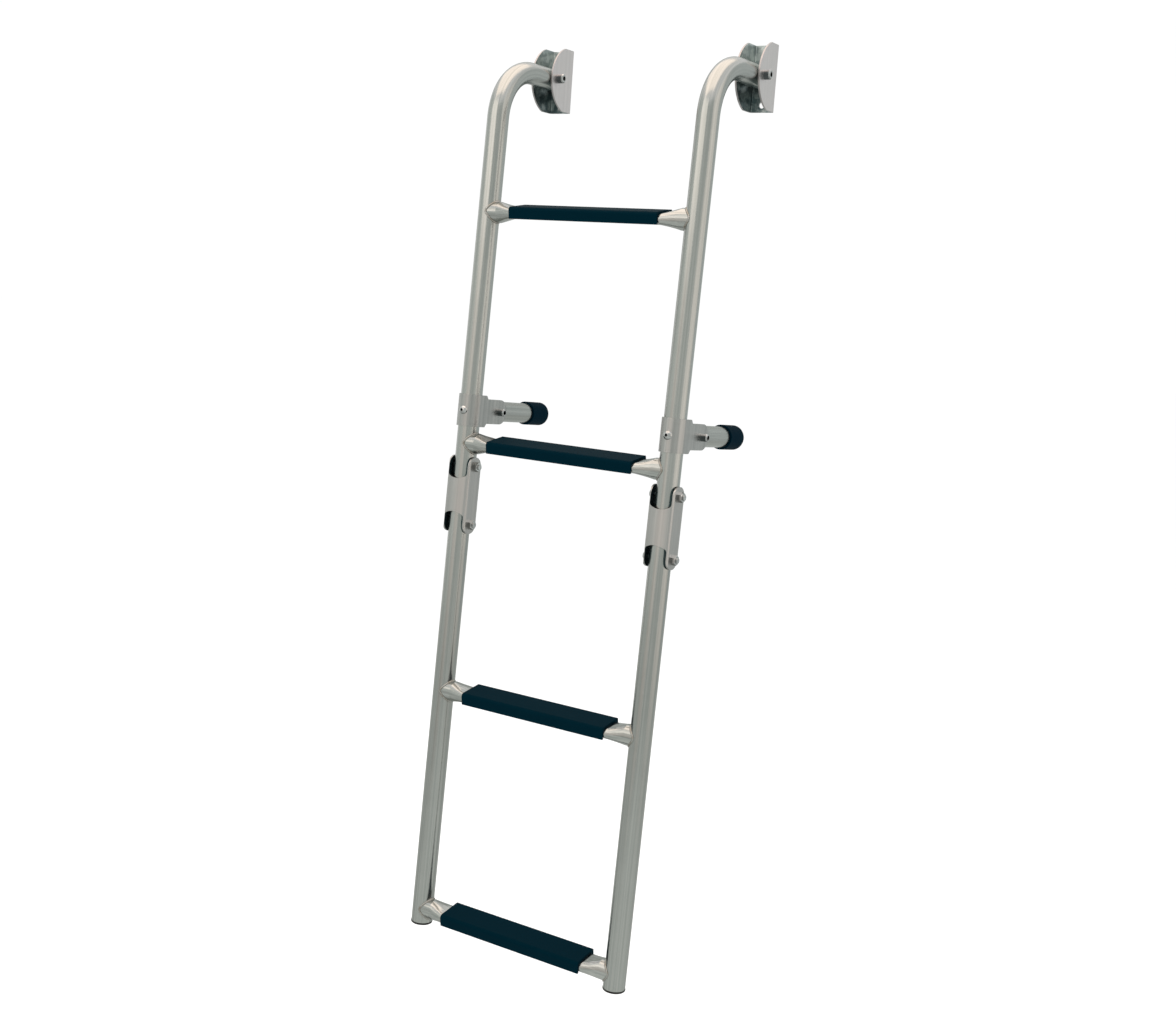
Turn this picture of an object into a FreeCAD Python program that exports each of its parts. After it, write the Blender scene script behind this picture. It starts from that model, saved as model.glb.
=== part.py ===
"""Folding boarding ladder: two hinged tube frames hung from a pair of wall brackets.

Millimetres. +Z is up along the rails, +Y points to the wall the ladder hangs on and
+X runs from the left rail to the right one, as the climber sees them. The origin lies
on the back face of the left bracket, level with the pivot bolts.
"""
import math
import os

import FreeCAD
import Part

Vec = FreeCAD.Vector
X_AXIS = Vec(1, 0, 0)
Y_AXIS = Vec(0, 1, 0)
Z_AXIS = Vec(0, 0, 1)

# The ladder hangs on its pivots and leans out, so that its stand-off tips meet the wall
PIVOT_Y = -30.5
LADDER_LEAN_DEG = 3.5

# Tubes and where the rails stand
TUBE_R = 12.5
TUBE_WALL = 1.5
RAIL_SPACING = 270.0
RAIL_FROM_PIVOT = 95.0
BEND_R = 62.0
RAIL_END_PAST_BOLT = 14.0

# Heights of the rungs, counted from the pivot bolts down
FIRST_RUNG_Z = -172.0
FRAME_PITCH = 267.0
JOINT_PITCH = 294.0
FOOT_BELOW_RUNG = 17.0

# Bolts, rivets and what cuts their holes
BOLT_FIT = 0.05
LINK_BOLT_R = 3.0
LINK_HEAD_R = 6.5
LINK_HEAD_DEEP = 5.0
NUT_ACROSS_FLATS = 10.0
NUT_DEEP = 5.0
TIP_PAST_NUT = 1.5
PIVOT_BOLT_R = 4.0
PIVOT_CAP_R = 5.4
PIVOT_CAP_DEEP = 7.0
LEG_BOLT_R = 3.0
LEG_CAP_R = 4.4
LEG_CAP_DEEP = 7.5
CAP_EDGE = 1.2
SOCKET_R = 2.6
SOCKET_DEEP = 3.0
HEAD_DROP = 0.6
HEAD_FLAT_R = 0.55
NUT_CHAMFER = 0.9
TOOL_OVERRUN = 1.0
EDGE_TOLERANCE = 0.001
SAME_POINT = 0.000001

# Wall brackets
BRACKET_HIGH = 73.0
BRACKET_DEEP = 45.5
BRACKET_NOSE_R = 38.9
BRACKET_SHEET = 2.0
BRACKET_GAP = 0.5
BRACKET_CORNER_R = 3.0
SCREW_R = 3.5
SCREW_PITCH = 19.0
SCREW_COUNT = 4

# Folding links
LINK_BELOW_RUNG = 27.0
LINK_BOLT_PITCH = 68.0
LINK_SHEET = 2.0
LINK_GAP = 0.7
LINK_FRONT_GAP = 1.4
LINK_BULGE = 3.9
LINK_CREASE_R = 3.0
LINK_REAR = 10.5
LINK_EAR_BACK = 0.3
LINK_EAR_R = 11.0
LINK_NOTCH_PAST_BOLT = 14.5
LINK_NOTCH_SAG = 4.0
LINK_NOTCH_R = 4.0
TUBE_END_PAST_BOLT = 20.0

# Rungs and treads
RUNG_R = 12.0
RUNG_ROUND_END = 17.0
RUNG_FLAT_START = 38.8
RUNG_FLAT_HALF_DEEP = 15.0
RUNG_FLAT_HALF_HIGH = 6.0
RUNG_TILT_DEG = 12.5
RUNG_SEAM_DEG = 35.0
TREAD_END_GAP = 0.5
TREAD_THICK = 2.4
TREAD_LIP_BOTTOM = -5.0
TREAD_NOSE_R = 4.0
TREAD_HEEL_R = 1.5

# Stand-off legs that keep the ladder away from the wall
CLAMP_ABOVE_RUNG = 38.0
CLAMP_SHEET = 2.0
CLAMP_HIGH = 37.0
CLAMP_BAND_REAR = 11.0
CLAMP_STEP = 3.0
CLAMP_BAND_CORNER_R = 1.5
CLAMP_EAR_FLAT = 0.5
CLAMP_EAR_R = 14.4
CLAMP_BOLT_OUT = 39.0
LEG_R = 12.0
LEG_END_PAST_BOLT = 9.0
CAP_WALL = 2.2
CAP_LONG = 36.0
CAP_FLOOR = 5.0
CAP_EDGE_R = 5.0
RIVET_R = 2.4
RIVET_HEAD_R = 5.0
RIVET_HEAD_HIGH = 3.0
RIVET_HOLE_R = 1.5
RIVET_HOLE_DEEP = 1.8

# Plugs in the feet of the rails
PLUG_RIM_R = 12.9
PLUG_RIM_DEEP = 2.6
PLUG_ROUNDING = 2.0
PLUG_STEM_DEEP = 18.0
PLUG_FIT = 0.05

SIDES = {"left": 0.0, "right": RAIL_SPACING}
RAIL_Y = PIVOT_Y - RAIL_FROM_PIVOT
SECOND_RUNG_Z = FIRST_RUNG_Z - FRAME_PITCH
THIRD_RUNG_Z = SECOND_RUNG_Z - JOINT_PITCH
FOURTH_RUNG_Z = THIRD_RUNG_Z - FRAME_PITCH
RUNG_HEIGHTS = (FIRST_RUNG_Z, SECOND_RUNG_Z, THIRD_RUNG_Z, FOURTH_RUNG_Z)
UPPER_LINK_Z = SECOND_RUNG_Z - LINK_BELOW_RUNG
LOWER_LINK_Z = UPPER_LINK_Z - LINK_BOLT_PITCH
CLAMP_Z = SECOND_RUNG_Z + CLAMP_ABOVE_RUNG
LEG_BOLT_Y = RAIL_Y + CLAMP_BOLT_OUT
TREAD_HALF_LONG = RAIL_SPACING / 2 - RUNG_FLAT_START - TREAD_END_GAP
FOOT_Z = FOURTH_RUNG_Z - FOOT_BELOW_RUNG
BORE_R = TUBE_R - TUBE_WALL
LINK_HOLE_R = LINK_BOLT_R + BOLT_FIT
PIVOT_HOLE_R = PIVOT_BOLT_R + BOLT_FIT
LEG_HOLE_R = LEG_BOLT_R + BOLT_FIT


def rod(start, direction, radius, length):
    """Return a solid cylinder."""
    return Part.makeCylinder(radius, length, start, direction)


def across(x, y, z, radius, half_width):
    """Return a cylinder that lies along X and is centred on x."""
    return rod(Vec(x - half_width, y, z), X_AXIS, radius, 2 * half_width)


def prism(points, direction):
    """Return the solid swept from a closed outline of corner points."""
    outline = Part.makePolygon(list(points) + [points[0]])
    return Part.Face(outline).extrude(direction)


def rounded_wire(corners):
    """Return a closed wire through corners, each given as (point, fillet radius)."""
    count = len(corners)
    edges = []
    starts = []
    ends = []
    middles = []
    for index in range(count):
        point, radius = corners[index]
        before = (corners[index - 1][0] - point).normalize()
        after = (corners[(index + 1) % count][0] - point).normalize()
        if radius <= 0:
            starts.append(point)
            ends.append(point)
            middles.append(None)
            continue
        half = before.getAngle(after) / 2
        reach = radius / math.tan(half)
        centre = point + (before + after).normalize() * (radius / math.sin(half))
        starts.append(point + before * reach)
        ends.append(point + after * reach)
        middles.append(centre + (point - centre).normalize() * radius)
    for index in range(count):
        if middles[index] is not None:
            edges.append(Part.Arc(starts[index], middles[index], ends[index]).toShape())
        follower = starts[(index + 1) % count]
        if (follower - ends[index]).Length > SAME_POINT:
            edges.append(Part.makeLine(ends[index], follower))
    return Part.Wire(edges)


def rounded_prism(corners, direction):
    """Return the solid swept from a closed outline with filleted corners."""
    return Part.Face(rounded_wire(corners)).extrude(direction)


def pipe(path, radius, start, direction):
    """Return a solid of round section swept along a path."""
    ring = Part.Wire(Part.makeCircle(radius, start, direction))
    return path.makePipeShell([ring], True, False)


def domed_head(x, y, z, radius, deep):
    """Return a bolt head that ends at x and narrows towards -X."""
    flat = deep * (1 - HEAD_DROP)
    rim = rod(Vec(x - flat, y, z), X_AXIS, radius, flat)
    dome = Part.makeCone(radius, radius * HEAD_FLAT_R, deep - flat, Vec(x - flat, y, z), -X_AXIS)
    return rim.fuse(dome)


def link_bolt(x, z, half_width):
    """Return a link bolt along X with its domed head on -X and a hexagon nut on +X."""
    y = RAIL_Y
    tip = half_width + NUT_DEEP + TIP_PAST_NUT
    shank = rod(Vec(x - half_width, y, z), X_AXIS, LINK_BOLT_R, half_width + tip)
    head = domed_head(x - half_width, y, z, LINK_HEAD_R, LINK_HEAD_DEEP)
    corner_r = NUT_ACROSS_FLATS / math.sqrt(3)
    points = []
    for step in range(6):
        angle = math.radians(30 + 60 * step)
        points.append(Vec(x + half_width, y + corner_r * math.cos(angle), z + corner_r * math.sin(angle)))
    nut = prism(points, X_AXIS * NUT_DEEP)
    trim = Part.makeCone(
        corner_r + NUT_DEEP, corner_r - NUT_CHAMFER, NUT_DEEP, Vec(x + half_width, y, z), X_AXIS
    )
    return shank.fuse([head, nut.common(trim)]).removeSplitter()


def capped_bolt(x, y, z, half_width, radius, cap_r, cap_deep):
    """Return a bolt along X with a domed head on -X and a socketed cap on +X."""
    shank = rod(Vec(x - half_width, y, z), X_AXIS, radius, 2 * half_width)
    head = domed_head(x - half_width, y, z, cap_r + CAP_EDGE, cap_deep * HEAD_DROP)
    end = x + half_width + cap_deep
    cap = rod(Vec(x + half_width, y, z), X_AXIS, cap_r, cap_deep)
    rim = [e for e in cap.Edges if abs(e.BoundBox.XMin - end) < EDGE_TOLERANCE]
    cap = cap.makeChamfer(CAP_EDGE, rim[:1])
    cap = cap.cut(rod(Vec(end, y, z), -X_AXIS, SOCKET_R, SOCKET_DEEP))
    return shank.fuse([head, cap]).removeSplitter()


def upper_rail(x):
    """Return a rail of the upper frame, bent so that its top run hangs level."""
    rise = math.radians(LADDER_LEAN_DEG)
    run = Vec(0, math.cos(rise), math.sin(rise))
    top = Vec(x, PIVOT_Y, 0) + run * RAIL_END_PAST_BOLT
    corner = Vec(x, RAIL_Y, -RAIL_FROM_PIVOT * math.tan(rise))
    reach_in = BEND_R * math.tan((math.pi / 2 - rise) / 2)
    bend_in = corner + run * reach_in
    bend_out = corner - Z_AXIS * reach_in
    centre = bend_out + Y_AXIS * BEND_R
    bend_mid = centre + (corner - centre).normalize() * BEND_R
    bottom = Vec(x, RAIL_Y, UPPER_LINK_Z - TUBE_END_PAST_BOLT)
    path = Part.Wire([
        Part.makeLine(top, bend_in),
        Part.Arc(bend_in, bend_mid, bend_out).toShape(),
        Part.makeLine(bend_out, bottom),
    ])
    tube = pipe(path, TUBE_R, top, run).cut(pipe(path, BORE_R, top, run))
    reach = 2 * TUBE_R
    pivot_hole = across(x, PIVOT_Y, 0, PIVOT_HOLE_R, reach)
    link_hole = across(x, RAIL_Y, UPPER_LINK_Z, LINK_HOLE_R, reach)
    rivet_hole = rod(Vec(x, RAIL_Y, CLAMP_Z), -Y_AXIS, RIVET_R, reach)
    return tube.cut([pivot_hole, link_hole, rivet_hole])


def lower_rail(x):
    """Return a straight rail of the lower frame."""
    top = LOWER_LINK_Z + TUBE_END_PAST_BOLT
    start = Vec(x, RAIL_Y, FOOT_Z)
    tube = rod(start, Z_AXIS, TUBE_R, top - FOOT_Z).cut(rod(start, Z_AXIS, BORE_R, top - FOOT_Z))
    return tube.cut(across(x, RAIL_Y, LOWER_LINK_Z, LINK_HOLE_R, 2 * TUBE_R))


def foot_plug(x):
    """Return the domed plug that closes a foot of the ladder."""
    stem = rod(Vec(x, RAIL_Y, FOOT_Z), Z_AXIS, BORE_R - PLUG_FIT, PLUG_STEM_DEEP)
    rim = rod(Vec(x, RAIL_Y, FOOT_Z), -Z_AXIS, PLUG_RIM_R, PLUG_RIM_DEEP)
    low = [e for e in rim.Edges if abs(e.BoundBox.ZMax - (FOOT_Z - PLUG_RIM_DEEP)) < EDGE_TOLERANCE]
    rim = rim.makeFillet(PLUG_ROUNDING, low[:1])
    return stem.fuse(rim).removeSplitter()


def bracket(x):
    """Return a wall bracket: a back plate folded forward into two rounded cheeks."""
    half_in = TUBE_R + BRACKET_GAP
    half_out = half_in + BRACKET_SHEET
    half_high = BRACKET_HIGH / 2
    corner = Vec(x - half_out, 0, -half_high)
    channel = rounded_prism(
        [
            (corner, BRACKET_CORNER_R),
            (corner + X_AXIS * (2 * half_out), BRACKET_CORNER_R),
            (corner + X_AXIS * (2 * half_out) - Y_AXIS * BRACKET_DEEP, 0),
            (corner - Y_AXIS * BRACKET_DEEP, 0),
        ],
        Z_AXIS * BRACKET_HIGH,
    )
    nose = across(x, BRACKET_NOSE_R - BRACKET_DEEP, 0, BRACKET_NOSE_R, half_out)
    start = Vec(x - half_in, -BRACKET_SHEET, -half_high)
    hollow = rounded_prism(
        [
            (start, BRACKET_CORNER_R - BRACKET_SHEET),
            (start + X_AXIS * (2 * half_in), BRACKET_CORNER_R - BRACKET_SHEET),
            (start + X_AXIS * (2 * half_in) - Y_AXIS * BRACKET_DEEP, 0),
            (start - Y_AXIS * BRACKET_DEEP, 0),
        ],
        Z_AXIS * BRACKET_HIGH,
    )
    tools = [hollow, across(x, PIVOT_Y, 0, PIVOT_HOLE_R, 2 * half_out)]
    for z in screw_heights():
        start = Vec(x, TOOL_OVERRUN, z)
        tools.append(rod(start, -Y_AXIS, SCREW_R, BRACKET_SHEET + 2 * TOOL_OVERRUN))
    return channel.common(nose).cut(tools)


def screw_heights():
    """Return the heights of the screw holes in a bracket's back plate."""
    first = -SCREW_PITCH * (SCREW_COUNT - 1) / 2
    return [first + SCREW_PITCH * index for index in range(SCREW_COUNT)]


def creased_channel(x, half, front, crease, rear, low, high, crease_r):
    """Return an upright solid with flat sides and a bulging front, its two front creases rounded."""
    left = Vec(x - half, crease, low)
    right = Vec(x + half, crease, low)
    rear_left = Vec(x - half, rear, low)
    rear_right = Vec(x + half, rear, low)
    outline = Part.Wire([
        Part.makeLine(rear_right, rear_left),
        Part.makeLine(rear_left, left),
        Part.Arc(left, Vec(x, front, low), right).toShape(),
        Part.makeLine(right, rear_right),
    ])
    solid = Part.Face(outline).extrude(Z_AXIS * high)
    creases = [
        e for e in solid.Edges
        if abs(e.BoundBox.YMin - crease) < EDGE_TOLERANCE and abs(e.BoundBox.YMax - crease) < EDGE_TOLERANCE
    ]
    return solid.makeFillet(crease_r, creases)


def link_notch(x, half, front, bolt_z, up):
    """Return the tool that opens the link's front round a bolt, with a dished floor."""
    floor_z = bolt_z - up * LINK_NOTCH_PAST_BOLT
    corner_z = floor_z + up * LINK_NOTCH_SAG
    far_z = bolt_z + up * 3 * LINK_EAR_R
    left = Vec(x - half, front, corner_z)
    right = Vec(x + half, front, corner_z)
    far_left = Vec(x - half, front, far_z)
    far_right = Vec(x + half, front, far_z)
    outline = Part.Wire([
        Part.Arc(left, Vec(x, front, floor_z), right).toShape(),
        Part.makeLine(right, far_right),
        Part.makeLine(far_right, far_left),
        Part.makeLine(far_left, left),
    ])
    tool = Part.Face(outline).extrude(Y_AXIS * (RAIL_Y - front))
    corners = [
        e for e in tool.Edges
        if abs(e.BoundBox.ZMin - corner_z) < EDGE_TOLERANCE and abs(e.BoundBox.ZMax - corner_z) < EDGE_TOLERANCE
    ]
    return tool.makeFillet(LINK_NOTCH_R, corners)


def link(x):
    """Return the folded sheet link that joins an upper rail to a lower one."""
    half_in = TUBE_R + LINK_GAP
    half_out = half_in + LINK_SHEET
    rear = RAIL_Y + LINK_REAR
    front_in = RAIL_Y - TUBE_R - LINK_FRONT_GAP
    front_out = front_in - LINK_SHEET
    crease_out = front_out + LINK_BULGE
    bulge_r = (half_out ** 2 + LINK_BULGE ** 2) / (2 * LINK_BULGE)
    crease_in = front_out + bulge_r - math.sqrt((bulge_r - LINK_SHEET) ** 2 - half_in ** 2)
    ear_front = front_out + bulge_r - math.sqrt(bulge_r ** 2 - half_in ** 2) + LINK_EAR_BACK
    middle = (UPPER_LINK_Z + LOWER_LINK_Z) / 2
    half_high = LINK_BOLT_PITCH / 2 + LINK_EAR_R
    low = middle - half_high
    high = 2 * half_high
    over = TOOL_OVERRUN
    outer = creased_channel(x, half_out, front_out, crease_out, rear, low, high, LINK_CREASE_R + LINK_SHEET)
    inner = creased_channel(
        x, half_in, front_in, crease_in, rear + over, low - over, high + 2 * over, LINK_CREASE_R
    )
    ears = rounded_prism(
        [
            (Vec(x - half_out, rear, low), LINK_EAR_R),
            (Vec(x - half_out, ear_front, low), LINK_EAR_R),
            (Vec(x - half_out, ear_front, low + high), LINK_EAR_R),
            (Vec(x - half_out, rear, low + high), LINK_EAR_R),
        ],
        X_AXIS * (2 * half_out),
    )
    web_half_high = LINK_BOLT_PITCH / 2 - LINK_NOTCH_PAST_BOLT + LINK_NOTCH_SAG + LINK_NOTCH_R
    web_corner = Vec(x - half_out, front_out, middle - web_half_high)
    side = ears.fuse(Part.makeBox(2 * half_out, RAIL_Y - front_out, 2 * web_half_high, web_corner))
    tools = []
    for bolt_z, up in ((UPPER_LINK_Z, 1), (LOWER_LINK_Z, -1)):
        tools.append(link_notch(x, half_in, front_out - over, bolt_z, up))
        tools.append(across(x, RAIL_Y, bolt_z, LINK_HOLE_R, 2 * half_out))
    return outer.cut(inner).common(side).cut(tools)


def flat_section(x, z, half_deep, half_high):
    """Return the flattened, tilted section of a rung as four matching edges."""
    centre = half_deep - half_high
    corner = Vec(0, centre, half_high)
    return section_wire(x, z, corner, half_deep)


def round_section(x, z, radius):
    """Return a round section cut into the same four edges as the flat one."""
    seam = math.radians(RUNG_SEAM_DEG)
    corner = Vec(0, radius * math.sin(seam), radius * math.cos(seam))
    return section_wire(x, z, corner, radius, radius)


def section_wire(x, z, corner, reach, crown=None):
    """Return a closed wire with arcs front and rear, and lines or arcs between."""
    centre = Vec(x, RAIL_Y, z)

    def place(u, w):
        tilt = math.radians(RUNG_TILT_DEG)
        turned = Vec(0, u * math.cos(tilt) - w * math.sin(tilt), u * math.sin(tilt) + w * math.cos(tilt))
        return centre + turned

    front_top = place(-corner.y, corner.z)
    rear_top = place(corner.y, corner.z)
    rear_low = place(corner.y, -corner.z)
    front_low = place(-corner.y, -corner.z)
    if crown is None:
        top = Part.makeLine(front_top, rear_top)
        low = Part.makeLine(rear_low, front_low)
    else:
        top = Part.Arc(front_top, place(0, crown), rear_top).toShape()
        low = Part.Arc(rear_low, place(0, -crown), front_low).toShape()
    rear = Part.Arc(rear_top, place(reach, 0), rear_low).toShape()
    front = Part.Arc(front_low, place(-reach, 0), front_top).toShape()
    return Part.Wire([top, rear, low, front])


def rung_body(z, inset):
    """Return a rung's outer solid, or its bore when inset is the wall thickness."""
    radius = RUNG_R - inset
    half_deep = RUNG_FLAT_HALF_DEEP - inset
    half_high = RUNG_FLAT_HALF_HIGH - inset
    far = RAIL_SPACING
    stubs = [
        rod(Vec(0, RAIL_Y, z), X_AXIS, radius, RUNG_ROUND_END),
        rod(Vec(far - RUNG_ROUND_END, RAIL_Y, z), X_AXIS, radius, RUNG_ROUND_END),
    ]
    flat = Part.Face(flat_section(RUNG_FLAT_START, z, half_deep, half_high)).extrude(
        X_AXIS * (far - 2 * RUNG_FLAT_START)
    )
    for start, end in ((RUNG_ROUND_END, RUNG_FLAT_START), (far - RUNG_ROUND_END, far - RUNG_FLAT_START)):
        sections = [round_section(start, z, radius), flat_section(end, z, half_deep, half_high)]
        stubs.append(Part.makeLoft(sections, True, True))
    return flat.fuse(stubs).removeSplitter()


def rung(z):
    """Return a hollow rung, round at the rails and pressed flat in the middle."""
    shape = rung_body(z, 0).cut(rung_body(z, TUBE_WALL))
    rails = [
        rod(Vec(x, RAIL_Y, z - 2 * TUBE_R), Z_AXIS, TUBE_R, 4 * TUBE_R) for x in SIDES.values()
    ]
    return shape.cut(rails)


def tread(z):
    """Return the moulded cover that lies on a rung and laps over its front and rear."""
    start = RAIL_SPACING / 2 - TREAD_HALF_LONG
    rest = RUNG_FLAT_HALF_HIGH
    top = rest + TREAD_THICK
    front_in = -RUNG_FLAT_HALF_DEEP
    front = front_in - TREAD_THICK
    rear_in = RUNG_FLAT_HALF_DEEP
    rear = rear_in + TREAD_THICK
    arc_u = RUNG_FLAT_HALF_DEEP - rest
    half_turn = math.sqrt(0.5) * rest
    nose_mid = TREAD_NOSE_R * (1 - math.sqrt(0.5))
    heel_mid = TREAD_HEEL_R * (1 - math.sqrt(0.5))
    tilt = math.radians(RUNG_TILT_DEG)

    def place(u, w):
        y = u * math.cos(tilt) - w * math.sin(tilt)
        height = u * math.sin(tilt) + w * math.cos(tilt)
        return Vec(start, RAIL_Y + y, z + height)

    def line(first, last):
        return Part.makeLine(place(*first), place(*last))

    def arc(first, middle, last):
        return Part.Arc(place(*first), place(*middle), place(*last)).toShape()

    edges = [
        line((rear_in, 0), (rear, 0)),
        line((rear, 0), (rear, top - TREAD_HEEL_R)),
        arc((rear, top - TREAD_HEEL_R), (rear - heel_mid, top - heel_mid), (rear - TREAD_HEEL_R, top)),
        line((rear - TREAD_HEEL_R, top), (front + TREAD_NOSE_R, top)),
        arc((front + TREAD_NOSE_R, top), (front + nose_mid, top - nose_mid), (front, top - TREAD_NOSE_R)),
        line((front, top - TREAD_NOSE_R), (front, TREAD_LIP_BOTTOM)),
        line((front, TREAD_LIP_BOTTOM), (front_in, TREAD_LIP_BOTTOM)),
        line((front_in, TREAD_LIP_BOTTOM), (front_in, 0)),
        arc((front_in, 0), (-arc_u - half_turn, half_turn), (-arc_u, rest)),
        line((-arc_u, rest), (arc_u, rest)),
        arc((arc_u, rest), (arc_u + half_turn, half_turn), (rear_in, 0)),
    ]
    return Part.Face(Part.Wire(edges)).extrude(X_AXIS * (2 * TREAD_HALF_LONG))


def standoff_clamp(x):
    """Return the sheet clamp that wraps a rail and carries a stand-off leg."""
    half_in = TUBE_R
    half_out = TUBE_R + CLAMP_SHEET
    low = CLAMP_Z - CLAMP_HIGH / 2
    rear = LEG_BOLT_Y + CLAMP_EAR_R
    deep = rear - RAIL_Y
    outer = rod(Vec(x, RAIL_Y, low), Z_AXIS, half_out, CLAMP_HIGH).fuse(
        Part.makeBox(2 * half_out, deep, CLAMP_HIGH, Vec(x - half_out, RAIL_Y, low))
    )
    inner = rod(Vec(x, RAIL_Y, low), Z_AXIS, half_in, CLAMP_HIGH).fuse(
        Part.makeBox(2 * half_in, deep, CLAMP_HIGH, Vec(x - half_in, RAIL_Y, low))
    )
    half_high = CLAMP_HIGH / 2
    band_rear = RAIL_Y + CLAMP_BAND_REAR
    front = RAIL_Y - half_out
    left = x - half_out
    side = rounded_prism(
        [
            (Vec(left, front, CLAMP_Z - half_high), 0),
            (Vec(left, front, CLAMP_Z + half_high), 0),
            (Vec(left, band_rear, CLAMP_Z + half_high), CLAMP_BAND_CORNER_R),
            (Vec(left, band_rear + CLAMP_STEP, CLAMP_Z + CLAMP_EAR_R), 0),
            (Vec(left, rear, CLAMP_Z + CLAMP_EAR_R), CLAMP_EAR_R - CLAMP_EAR_FLAT),
            (Vec(left, rear, CLAMP_Z - CLAMP_EAR_R), CLAMP_EAR_R - CLAMP_EAR_FLAT),
            (Vec(left, band_rear + CLAMP_STEP, CLAMP_Z - CLAMP_EAR_R), 0),
            (Vec(left, band_rear, CLAMP_Z - half_high), CLAMP_BAND_CORNER_R),
        ],
        X_AXIS * (2 * half_out),
    )
    bolt_hole = across(x, LEG_BOLT_Y, CLAMP_Z, LEG_HOLE_R, 2 * half_out)
    rivet_hole = rod(Vec(x, RAIL_Y, CLAMP_Z), -Y_AXIS, RIVET_R, 2 * half_out)
    return outer.cut(inner).common(side).cut([bolt_hole, rivet_hole])


def clamp_rivet(x):
    """Return the hollow domed rivet through the clamp and the rail's front wall."""
    face_y = RAIL_Y - TUBE_R - CLAMP_SHEET
    over = TOOL_OVERRUN
    shank = rod(Vec(x, RAIL_Y - BORE_R + over, CLAMP_Z), -Y_AXIS, RIVET_R, TUBE_WALL + CLAMP_SHEET + 2 * over)
    ball_r = (RIVET_HEAD_R ** 2 + RIVET_HEAD_HIGH ** 2) / (2 * RIVET_HEAD_HIGH)
    ball = Part.makeSphere(ball_r, Vec(x, face_y - RIVET_HEAD_HIGH + ball_r, CLAMP_Z))
    keep_from = Vec(x, face_y + CLAMP_SHEET, CLAMP_Z)
    keep = rod(keep_from, -Y_AXIS, RIVET_HEAD_R + over, RIVET_HEAD_HIGH + CLAMP_SHEET + over)
    skin = rod(Vec(x, RAIL_Y, CLAMP_Z - CLAMP_HIGH), Z_AXIS, TUBE_R + CLAMP_SHEET, 2 * CLAMP_HIGH)
    head = ball.common(keep).cut(skin)
    hole = rod(Vec(x, face_y - RIVET_HEAD_HIGH - over, CLAMP_Z), Y_AXIS, RIVET_HOLE_R, RIVET_HOLE_DEEP + over)
    return head.fuse(shank).removeSplitter().cut(hole)


def tip_y():
    """Return how far the rubber tips reach, so that leaned out they just meet the wall."""
    lean = math.radians(LADDER_LEAN_DEG)
    upper_edge = CLAMP_Z + LEG_R + CAP_WALL - CAP_EDGE_R
    return PIVOT_Y + (-PIVOT_Y - upper_edge * math.sin(lean)) / math.cos(lean)


def standoff_leg(x):
    """Return the short tube that reaches from the clamp towards the wall."""
    start = Vec(x, LEG_BOLT_Y - LEG_END_PAST_BOLT, CLAMP_Z)
    length = tip_y() - CAP_FLOOR - start.y
    tube = rod(start, Y_AXIS, LEG_R, length).cut(rod(start, Y_AXIS, LEG_R - TUBE_WALL, length))
    return tube.cut(across(x, LEG_BOLT_Y, CLAMP_Z, LEG_HOLE_R, 2 * LEG_R))


def rubber_tip(x):
    """Return the rubber cap that rests on the wall."""
    start = Vec(x, tip_y(), CLAMP_Z)
    cap = rod(start, -Y_AXIS, LEG_R + CAP_WALL, CAP_LONG)
    end = [e for e in cap.Edges if abs(e.BoundBox.YMin - tip_y()) < EDGE_TOLERANCE]
    cap = cap.makeFillet(CAP_EDGE_R, end[:1])
    return cap.cut(rod(start - Y_AXIS * CAP_FLOOR, -Y_AXIS, LEG_R, CAP_LONG))


def leaned(shape):
    """Return a ladder piece turned about the pivot bolts into its hanging pose."""
    turned = shape.copy()
    turned.rotate(Vec(0, PIVOT_Y, 0), X_AXIS, -LADDER_LEAN_DEG)
    return turned


def bracket_pieces(x):
    """Return the pieces of one wall bracket."""
    half = TUBE_R + BRACKET_GAP + BRACKET_SHEET
    bolt = capped_bolt(x, PIVOT_Y, 0, half, PIVOT_BOLT_R, PIVOT_CAP_R, PIVOT_CAP_DEEP)
    return {"bracket": bracket(x), "bracket_bolt": bolt}


def side_pieces(x):
    """Return the pieces of one side of the ladder, rails standing upright."""
    link_half = TUBE_R + LINK_GAP + LINK_SHEET
    clamp_half = TUBE_R + CLAMP_SHEET
    return {
        "upper_rail": upper_rail(x),
        "standoff_clamp": standoff_clamp(x),
        "clamp_rivet": clamp_rivet(x),
        "standoff_bolt": capped_bolt(x, LEG_BOLT_Y, CLAMP_Z, clamp_half, LEG_BOLT_R, LEG_CAP_R, LEG_CAP_DEEP),
        "standoff_leg": standoff_leg(x),
        "rubber_tip": rubber_tip(x),
        "link": link(x),
        "upper_link_bolt": link_bolt(x, UPPER_LINK_Z, link_half),
        "lower_link_bolt": link_bolt(x, LOWER_LINK_Z, link_half),
        "lower_rail": lower_rail(x),
        "foot_plug": foot_plug(x),
    }


def all_pieces():
    """Return every piece of the ladder by its node name."""
    pieces = {}
    for side, x in SIDES.items():
        for name, shape in bracket_pieces(x).items():
            pieces[side + "_" + name] = shape
        for name, shape in side_pieces(x).items():
            pieces[side + "_" + name] = leaned(shape)
    for number, z in enumerate(RUNG_HEIGHTS, start=1):
        pieces["rung_%d" % number] = leaned(rung(z))
        pieces["tread_%d" % number] = leaned(tread(z))
    return pieces


os.makedirs("parts", exist_ok=True)
for name, shape in all_pieces().items():
    if len(shape.Solids) != 1:
        raise ValueError("%s has %d solids" % (name, len(shape.Solids)))
    shape.Solids[0].exportStep("parts/" + name + ".step")
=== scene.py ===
"""Finish the folding boarding ladder: steel, moulded covers, rubber, welds, threads, light and camera.

Lengths are metres in the part's own frame: +Z up, +Y to the wall, +X from the left rail to the
right one. The origin lies on the back face of the left bracket, level with the pivot bolts.
"""

import logging
import math
from abc import ABC, abstractmethod
from dataclasses import dataclass, field, replace
from enum import Enum
from functools import reduce
from typing import Any, Callable, Mapping, Optional, Sequence, Union

import bmesh
import bpy
from mathutils import Matrix, Vector


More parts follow.
